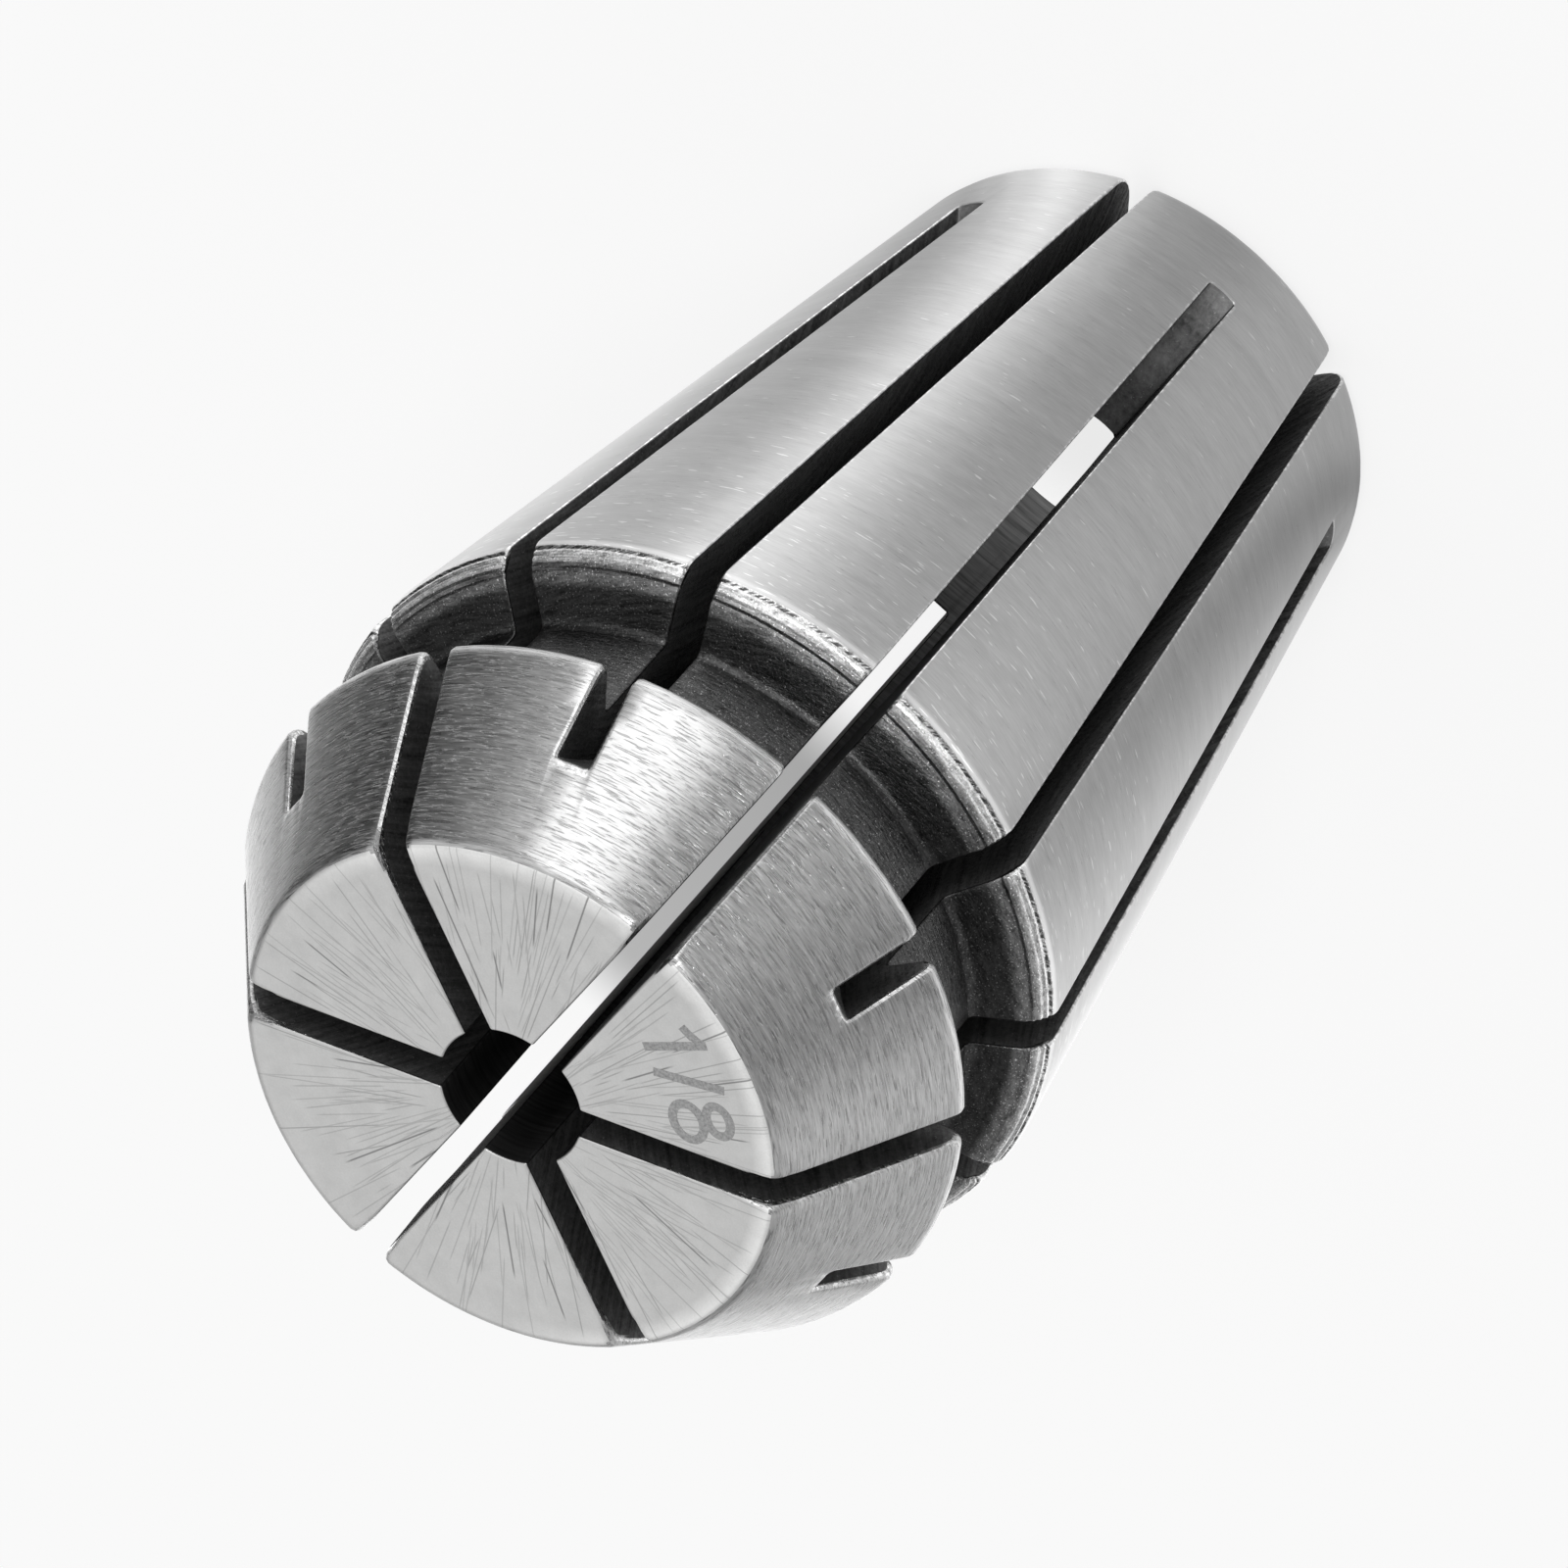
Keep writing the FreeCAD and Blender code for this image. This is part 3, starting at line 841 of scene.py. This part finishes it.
def fan_scratches(shader, pitch, seed, count, share, width):
    """Fine straight scratches that fan out from a centre of their own in every segment."""
    sector = shader.math("FLOOR", shader.math("DIVIDE", shader.azimuth, pitch))
    shift = shader.white(shader.combine(sector, seed, 0.5))["Color"]
    shift = shader.vector("SUBTRACT", shift, (0.5, 0.5, 0.5))
    shift = shader.vector("MULTIPLY", shift, (FAN_SPAN, FAN_SPAN, 0))
    place = shader.vector("SUBTRACT", shader.place, shift)
    axes = shader.split(place)
    cell = shader.product(shader.math("ARCTAN2", axes[1], axes[0]), count / math.tau)
    chance = shader.white(shader.combine(shader.math("FLOOR", cell), sector, seed))
    picks = shader.add("ShaderNodeSeparateColor", {"Color": chance["Color"]}).outputs
    middle = shader.ramp(picks[0], 0, 1, 0.3, 0.7)
    offset = shader.math("SUBTRACT", shader.math("FRACT", cell), middle)
    reach = shader.length(shader.vector("MULTIPLY", place, (1, 1, 0)))
    gap = shader.product(shader.math("ABSOLUTE", offset), reach, math.tau / count)
    line = shader.inverse(shader.step(gap, width * 0.3, width))
    start = shader.ramp(picks[1], 0, 1, *SCRATCH_START)
    end = shader.math("ADD", start, shader.ramp(picks[2], 0, 1, *SCRATCH_LENGTH))
    begun = shader.step(shader.math("SUBTRACT", reach, start), 0, SCRATCH_FADE)
    ended = shader.step(shader.math("SUBTRACT", end, reach), 0, SCRATCH_FADE)
    drawn = shader.math("LESS_THAN", chance["Value"], share)
    return shader.product(line, begun, ended, drawn)


def faced_steel(finish, section):
    """Nose face: satin steel with fans of dark scratches and a painted highlight along one side of
    its rim.
    """
    shader = SteelShader("faced")
    mottle = shader.noise(shader.place, scale=2.2, detail=4, roughness=0.6)
    grain = shader.noise(shader.place, scale=22, detail=2, roughness=0.6)
    tone = shader.weighed(mottle, 0.6, grain)
    marks = 0.0
    for seed, count, share, width, strength in SCRATCH_LAYERS:
        layer = fan_scratches(shader, section.pitch, seed, count, share, width)
        marks = shader.math("MAXIMUM", shader.product(layer, strength), marks)
    # Painted highlight: a brighter copy of the face's colour near the rim, on one side along Y.
    rim_highlight = shader.product(
        shader.ramp(shader.radius, *HIGHLIGHT_RIM), shader.step(shader.y, *HIGHLIGHT_SIDE),
        shader.ramp(tone, 0.25, 0.6, 0.55, 1.0),
    )
    colour = shader.shades(tone, finish.faced, 0.9, 1.08)
    colour = shader.blend(rim_highlight, colour, shaded(finish.faced, 1.5))
    colour = shader.cover(colour, marks, 0.7, finish.scratch)
    height = shader.math("SUBTRACT", shader.product(grain, 0.3), marks)
    return shader.finish(colour, 0.38, 0.0, height, 0.0012)


# Radii over which the groove's colour gives way to a darker one on its wall, to the rings' and to
# the edge's.
WALL_FROM, RINGS_FROM, EDGE_FROM = (7.0, 7.15), (7.65, 7.9), (8.05, 8.25)
# Drop of the line of ticks below the shoulder's corner, and the distances from it at which it is
# gone and is in full.
TICKS_DROP, TICKS_SIDE = 0.21, (0.05, 0.015)


def turned_steel(finish, section):
    """Groove and shoulder: torn turning marks with a rough grain."""
    shader = SteelShader("turned")
    torn = shader.streaks(3.0, 14, detail=3.0, roughness=0.75)
    grain = shader.noise(shader.place, scale=18, detail=3, roughness=0.75)
    height = shader.math("ADD", torn, shader.product(grain, 0.7))
    zones = (
        (WALL_FROM, shaded(finish.turned, 0.55)), (RINGS_FROM, shaded(finish.ringed, 0.27)),
        (EDGE_FROM, finish.ringed),
    )
    base = finish.turned
    for limits, colour in zones:
        base = shader.blend(shader.step(shader.radius, *limits), base, colour)
    specks = shader.step(shader.noise(shader.place, scale=24, detail=1), 0.64, 0.72)
    bright = shader.ramp(height, 0.6, 1.1, 0.3, 1.7)
    bright = shader.math("ADD", bright, shader.product(specks, 3))
    bright = shader.product(bright, shader.inverse(dark_ticks(shader, section)))
    colour = shader.add("ShaderNodeVectorMath", {"Vector": base, "Scale": bright}, operation="SCALE")
    return shader.finish(colour.outputs[0], 0.3, 0.2, height, 0.014)


def dark_ticks(shader, section):
    """Line of short dark ticks where the shoulder's round begins."""
    aside = shader.math("SUBTRACT", shader.height, section.shoulder_height - TICKS_DROP)
    line = shader.step(shader.math("ABSOLUTE", aside), *TICKS_SIDE)
    ticks = shader.step(shader.streaks(11, 4), 0.42, 0.55)
    return shader.product(line, ticks, 0.85)


# Middle of the saws as (radius, height), for the arcs that they leave.
SAW_CENTRE = (22.0, 14.6)


def sawn_steel(finish):
    """Walls of the slots: dark grit with arcs that the saw left."""
    shader = SteelShader("sawn")
    grain = shader.noise(shader.place, scale=9, detail=4, roughness=0.75)
    across = shader.math("SUBTRACT", shader.radius, SAW_CENTRE[0])
    up = shader.math("SUBTRACT", shader.height, SAW_CENTRE[1])
    reach = shader.length(shader.combine(across, up, 0))
    arcs = shader.combine(shader.product(reach, 7), shader.product(up, 0.5), 0)
    arcs = shader.noise(arcs, detail=3, roughness=0.65)
    height = shader.math("ADD", shader.product(grain, 0.8), arcs)
    specks = shader.step(shader.noise(shader.place, scale=13, detail=2, roughness=0.7), 0.66, 0.72)
    colour = shader.shades(height, finish.sawn, 0.4, 1.6, 0.65, 1.2)
    colour = shader.cover(colour, specks, 0.6, finish.ground)
    return shader.finish(colour, 0.6, 0.0, height, 0.008, rim=DARK_RIM)


def bored_steel(finish):
    """Inside of the bore: dark steel with drawn lines."""
    shader = SteelShader("bored")
    lines = shader.streaks(0.8, 12)
    colour = shader.shades(lines, finish.bored, 0.6, 1.3)
    return shader.finish(colour, 0.5, 0.0, lines, 0.003, rim=DARK_RIM)


def marked_steel(settings):
    """Figures on the nose face: steel darkened by the marking beam."""
    shader = SteelShader("marked")
    grain = shader.noise(shader.place, scale=14, detail=3, roughness=0.7)
    colour = shader.shades(grain, settings.colour, 0.7, 1.35)
    return shader.finish(colour, 0.5, 0.0, grain, 0.003)


class ColletPiece(bpy.types.Operator):
    """Model the collet: turned blank, bore, slots from both ends and broken edges"""

    bl_idname = "collet.add_body"
    bl_label = "Collet"

    def execute(self, context):
        finish = context.scene.collet_finish
        section = TurnedSection(context.scene.collet_sizes)
        finishes = {
            "seat": ground_steel(finish, section), "nose": nose_steel(finish, section),
            "faced": faced_steel(finish, section), "turned": turned_steel(finish, section),
            "sawn": sawn_steel(finish), "bored": bored_steel(finish),
        }
        names = list(finishes)
        piece = turn_blank("collet_body", section.outline())
        clear_meridians(piece, section)
        for material in finishes.values():
            piece.data.materials.append(material)
        saws = make_saws(section)
        saws.data.materials.clear()
        saws.data.materials.append(finishes["sawn"])
        cut_slots(piece, saws)
        break_slot_edges(piece, section, names.index("sawn"))
        finish_surface(piece, section, names)
        splay_segments(piece, section)
        settle(piece)
        smooth_surface(piece)
        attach(piece, BODY)
        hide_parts(NODE)
        return {"FINISHED"}


# The figures 1/8, upright about the mark's centre: (start, end) of the straight strokes, and
# (centre, outer radii) of the loops.
MARK_BARS = (
    ((-0.87, 0.68), (-0.87, -0.82)),
    ((-0.88, 0.6), (-1.1, 0.4)),
    ((-1.05, 0.42), (-1.33, 0.25)),
    ((0.19, 0.72), (-0.28, -0.8)),
)
MARK_LOOPS = (((0.91, 0.32), (0.46, 0.36)), ((0.91, -0.4), (0.53, 0.44)))
# Each stroke lies this much higher than the one before it, so that none lies in another.
STROKE_RISE = 0.0002


def add_bar(start, end, width):
    """Flat straight stroke."""
    start, end = Vector(start), Vector(end)
    middle = (start + end) / 2
    along = end - start
    piece = start_piece(
        "bar", bpy.ops.mesh.primitive_plane_add, size=1, location=(middle.x, middle.y, 0),
        rotation=(0, 0, math.atan2(along.y, along.x)),
    )
    piece.scale = (along.length, width, 1)
    return piece


def add_loop(centre, radii, width):
    """Flat oval stroke."""
    piece = start_piece(
        "loop", bpy.ops.mesh.primitive_circle_add, vertices=OVAL_STEPS, radius=1, fill_type="NGON",
        location=(*centre, 0),
    )
    piece.scale = (*radii, 1)
    bpy.ops.object.transform_apply(location=False, rotation=False, scale=True)
    enter_edit()
    bpy.ops.mesh.inset(thickness=width)
    bpy.ops.mesh.delete(type="FACE")
    leave_edit()
    return piece


class SizeMark(bpy.types.Operator):
    """Add the bore size that is marked on the nose face"""

    bl_idname = "collet.add_mark"
    bl_label = "Bore size mark"

    def execute(self, context):
        sizes = context.scene.collet_sizes
        mark = context.scene.collet_mark
        stroke = mark.stroke / MM
        pieces = [add_bar(start, end, stroke) for start, end in MARK_BARS]
        pieces += [add_loop(centre, radii, stroke) for centre, radii in MARK_LOOPS]
        for index, piece in enumerate(pieces):
            piece.location.z = STROKE_RISE * index
        piece = join_to(pieces[-1], pieces)
        piece.name = "bore_size_mark"
        piece.data.name = "bore_size_mark"
        apply_place()
        stand = mark.stand / MM
        enter_edit()
        bpy.ops.mesh.extrude_region_move(TRANSFORM_OT_translate={"value": (0, 0, stand)})
        face_outwards()
        place = (mark.across / MM, mark.out / MM, sizes.overall_length / MM)
        piece.data.transform(Matrix.Translation(place) @ Matrix.Rotation(mark.tilt, 4, "Z"))
        settle(piece)
        piece.data.materials.clear()
        piece.data.materials.append(marked_steel(mark))
        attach(piece, BODY)
        return {"FINISHED"}


# What polished metal sees: the bright band on the floor around the part, the ceiling, and
# (azimuth in degrees, brightness) of the floor near the part, the horizon and the upper walls.
BAND_BRIGHTNESS = 1.25
TOP_BRIGHTNESS = 1.3
HIGH_BRIGHTNESS = (
    (0, 0.9), (30, 0.7), (70, 0.4), (110, 0.4), (150, 0.7), (190, 1.2), (225, 1.3), (262, 0.8),
    (300, 0.3), (335, 0.6), (360, 0.9),
)
FLOOR_BRIGHTNESS = (
    (0, 1.1), (12, 1.02), (22, 0.98), (30, 0.84), (44, 0.6), (56, 0.44), (73, 0.67), (87, 0.7),
    (105, 0.7), (130, 0.56), (141, 0.62), (150, 0.86), (160, 1.2), (171, 1.65), (181, 1.25),
    (190, 0.88), (198, 0.7), (211, 0.76), (226, 0.9), (240, 1.0), (250, 1.35), (262, 1.05),
    (273, 1.05), (285, 1.45), (297, 2.0), (315, 2.6), (330, 2.15), (345, 1.7), (360, 1.1),
)
HORIZON_BRIGHTNESS = (
    (0, 0.6), (12, 0.67), (25, 0.82), (38, 0.92), (47, 0.75), (56, 0.5), (68, 0.42), (85, 0.6),
    (100, 0.78), (112, 0.56), (128, 0.33), (150, 0.8), (162, 1.2), (170, 1.25), (180, 0.7),
    (188, 0.45), (196, 0.26), (206, 0.12), (216, 0.04), (232, 0.04), (245, 0.08), (262, 0.3),
    (285, 0.8), (330, 0.7), (345, 0.35), (360, 0.6),
)
# A colour ramp holds values up to one, so these brightnesses are divided by this and brought back.
RAMP_SCALE = 4.0
# Height angles, in degrees, over which that view changes: from the floor near the part to the
# horizon, into the bright band and out of it, to the upper walls and to the ceiling.
HORIZON_RISE, BAND_FOOT, BAND_TOP = (-45, -25), (-42, -33), (-13, -25)
HIGH_RISE, TOP_RISE = (24, 42), (60, 80)

# The painted shadow on the floor, in millimetres behind the axis and to either side of it: where it
# begins and ends, where the painted streak of light in it ends, and the streak's half width.
SHADE_START, SHADE_END = (-4.0, 4.0), (25.0, 22.6)
STREAK_END, STREAK_SIDE = (15.0, 12.0), (2.2, 0.8)
# Two distances and the shadow's strength at each, its half width at the axis, how much that grows
# on the way, and how much its end is rounded.
SHADE_FADE, SHADE_STRENGTH = (6.0, 22.5), (0.66, 0.5)
SHADE_WIDTH, SHADE_SPREAD, SHADE_CURVE = 5.2, 0.12, 0.12

# Azimuth, height angle, distance, width and height of each lamp, in degrees and metres, and the
# height of the point that the lamps face.
FACE_SOFTBOX = (301, 45, 0.9, 0.6, 0.6)
STRIP_SOFTBOX = (153.5, 20, 0.9, 0.43, 0.7)
KEY_LAMP = (121, 57, 1.0, 0.22, 0.22)
LAMP_AIM = 0.02


def direction(azimuth, elevation):
    """Unit vector towards an azimuth and a height angle."""
    level = math.cos(elevation)
    return Vector((level * math.cos(azimuth), level * math.sin(azimuth), math.sin(elevation)))


def azimuth_ramp(nodes, share, table):
    """Brightness read from a table of (azimuth in degrees, brightness)."""
    curve = nodes.add("ShaderNodeValToRGB", {"Fac": share})
    ramp = curve.color_ramp
    ramp.interpolation = "EASE"
    while len(ramp.elements) < len(table):
        ramp.elements.new(0.5)
    for element, (degrees, brightness) in zip(ramp.elements, table):
        grey = brightness / RAMP_SCALE
        element.position = degrees / 360
        element.color = (grey, grey, grey, 1)
    return nodes.product(curve.outputs[0], RAMP_SCALE)


def surroundings(nodes, towards):
    """Brightness of the studio in one direction, as polished metal sees it."""
    x, y, z = nodes.split(towards)
    turn = nodes.math("FLOORED_MODULO", nodes.math("ARCTAN2", y, x), math.tau)
    share = nodes.math("DIVIDE", turn, math.tau)
    rise = nodes.math("ARCSINE", z)

    def risen(limits):
        return nodes.step(rise, *map(math.radians, limits))

    near = azimuth_ramp(nodes, share, FLOOR_BRIGHTNESS)
    level = azimuth_ramp(nodes, share, HORIZON_BRIGHTNESS)
    upper = azimuth_ramp(nodes, share, HIGH_BRIGHTNESS)
    band = nodes.product(risen(BAND_FOOT), risen(BAND_TOP))
    brightness = nodes.between(risen(HORIZON_RISE), near, level)
    brightness = nodes.math("MULTIPLY_ADD", band, BAND_BRIGHTNESS, brightness)
    brightness = nodes.between(risen(HIGH_RISE), brightness, upper)
    return nodes.between(risen(TOP_RISE), brightness, TOP_BRIGHTNESS)


def shade_behind(nodes, place, azimuth):
    """Painted soft shadow behind the part, as the camera sees it, with a painted streak of light at
    its foot.
    """
    turned = nodes.add(
        "ShaderNodeVectorRotate", {"Vector": place, "Angle": -azimuth}, rotation_type="Z_AXIS"
    )
    axes = nodes.split(turned.outputs[0])
    behind = nodes.product(axes[0], -1 / MM)
    aside = nodes.product(nodes.math("ABSOLUTE", axes[1]), 1 / MM)
    strength = nodes.ramp(behind, *SHADE_FADE, *SHADE_STRENGTH)
    edge = nodes.math("MULTIPLY_ADD", behind, SHADE_SPREAD, SHADE_WIDTH)
    sides = nodes.step(nodes.math("DIVIDE", aside, edge), 1.0, 0.1)
    reach = nodes.math("MULTIPLY_ADD", nodes.product(aside, aside), SHADE_CURVE, behind)
    ends = nodes.product(nodes.step(reach, *SHADE_END), nodes.step(behind, *SHADE_START))
    streak = nodes.product(nodes.step(aside, *STREAK_SIDE), nodes.step(behind, *STREAK_END))
    return nodes.product(strength, sides, nodes.product(ends, nodes.inverse(streak)))


def make_floor(studio):
    """Pale floor; the camera sees it nearly white, and polished metal sees the studio on it."""
    floor = start_piece(
        "floor", bpy.ops.mesh.primitive_plane_add, size=studio.floor_size,
        location=(0, 0, -studio.floor_gap),
    )
    apply_place()
    material = bpy.data.materials.new("floor")
    material.use_nodes = True
    nodes = Nodes(material.node_tree)
    place = nodes.add("ShaderNodeTexCoord").outputs["Object"]
    # Painted shadow behind the part: it darkens the floor's colour and dims its glow.
    shade = shade_behind(nodes, place, studio.view_azimuth)
    colour = nodes.blend(shade, studio.floor_colour, studio.shade_colour)
    matt = nodes.add("ShaderNodeBsdfDiffuse", {"Color": colour}).outputs[0]
    glow = nodes.emission(nodes.inverse(shade))
    towards = nodes.vector("ADD", place, (0, 0, -studio.eye_height))
    mirror_image = nodes.emission(surroundings(nodes, nodes.vector("NORMALIZE", towards)))
    seen, mirrored = nodes.ray_kinds()
    pale = nodes.mix_shaders(nodes.product(seen, studio.floor_glow), matt, glow)
    surface = nodes.mix_shaders(mirrored, pale, mirror_image)
    below = nodes.add("ShaderNodeNewGeometry").outputs["Backfacing"]
    clear = nodes.add("ShaderNodeBsdfTransparent").outputs[0]
    surface = nodes.mix_shaders(below, surface, clear)
    nodes.add("ShaderNodeOutputMaterial", {"Surface": surface})
    floor.data.materials.append(material)
    floor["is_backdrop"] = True


def make_world(studio):
    """White to the camera, even light to matt surfaces, and the studio's walls to metal."""
    world = bpy.data.worlds.new("studio")
    bpy.context.scene.world = world
    world.use_nodes = True
    nodes = Nodes(world.node_tree)
    towards = nodes.add("ShaderNodeTexCoord").outputs["Generated"]
    seen, mirrored = nodes.ray_kinds()
    even = nodes.between(seen, studio.ambient, 1.0)
    strength = nodes.between(mirrored, even, surroundings(nodes, towards))
    background = nodes.add("ShaderNodeBackground", {"Strength": strength})
    nodes.add("ShaderNodeOutputWorld", {"Surface": background.outputs[0]})


def add_softbox(name, brightness, azimuth, elevation, distance, width, height):
    """Rectangular lamp that faces the part and looks this bright from it."""
    bpy.ops.object.light_add(type="AREA")
    lamp = bpy.context.object
    lamp.name = name
    lamp.data.shape = "RECTANGLE"
    lamp.data.size = width
    lamp.data.size_y = height
    lamp.data.energy = brightness * math.pi * width * height
    towards = direction(math.radians(azimuth), math.radians(elevation))
    lamp.location = Vector((0, 0, LAMP_AIM)) + towards * distance
    lamp.rotation_euler = (-towards).to_track_quat("-Z", "Y").to_euler()
    lamp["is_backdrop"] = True
    return lamp


def add_camera(studio):
    bpy.ops.object.camera_add()
    camera = bpy.context.object
    camera.name = "camera"
    camera.data.lens = studio.lens
    camera.data.dof.use_dof = False
    towards = direction(studio.view_azimuth, studio.view_elevation)
    camera.location = Vector((0, 0, studio.aim_height)) + towards * studio.view_distance
    level = (-towards).to_track_quat("-Z", "Y").to_matrix()
    roll = Matrix.Rotation(-studio.view_roll, 3, "Z")
    camera.rotation_euler = (level @ roll).to_euler()
    bpy.context.scene.camera = camera


class Studio(bpy.types.Operator):
    """Set up the floor, the lamps, the world and the camera"""

    bl_idname = "collet.add_studio"
    bl_label = "Studio"

    def execute(self, context):
        studio = context.scene.collet_studio
        make_floor(studio)
        make_world(studio)
        face = add_softbox("face_softbox", studio.face_light, *FACE_SOFTBOX)
        strip = add_softbox("strip_softbox", studio.strip_light, *STRIP_SOFTBOX)
        for lamp in (face, strip):
            lamp.visible_diffuse = False
        add_softbox("key_lamp", studio.key_light, *KEY_LAMP)
        add_camera(studio)
        context.scene.view_settings.view_transform = "Standard"
        return {"FINISHED"}


class ColletPanel(bpy.types.Panel):
    bl_label = "Collet"
    bl_idname = "VIEW3D_PT_collet"
    bl_space_type = "VIEW_3D"
    bl_region_type = "UI"
    bl_category = "Collet"

    def draw(self, context):
        for operator in OPERATORS:
            self.layout.operator(operator.bl_idname)
        for name in SETTINGS:
            box = self.layout.box()
            settings = getattr(context.scene, name)
            for field in settings.bl_rna.properties:
                if field.identifier not in ("rna_type", "name"):
                    box.prop(settings, field.identifier)


OPERATORS = (ColletPiece, SizeMark, Studio)
SETTINGS = {
    "collet_sizes": ColletSizes,
    "collet_mark": MarkSettings,
    "collet_finish": SteelFinish,
    "collet_studio": StudioSettings,
}


def register():
    for kind in (*SETTINGS.values(), *OPERATORS, ColletPanel):
        bpy.utils.register_class(kind)
    for name, kind in SETTINGS.items():
        setattr(bpy.types.Scene, name, bpy.props.PointerProperty(type=kind))


def unregister():
    for name in SETTINGS:
        delattr(bpy.types.Scene, name)
    for kind in (ColletPanel, *reversed(OPERATORS), *reversed(SETTINGS.values())):
        bpy.utils.unregister_class(kind)


def main():
    register()
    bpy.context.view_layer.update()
    bpy.ops.collet.add_body()
    bpy.ops.collet.add_mark()
    bpy.ops.collet.add_studio()


if __name__ == "__main__":
    main()
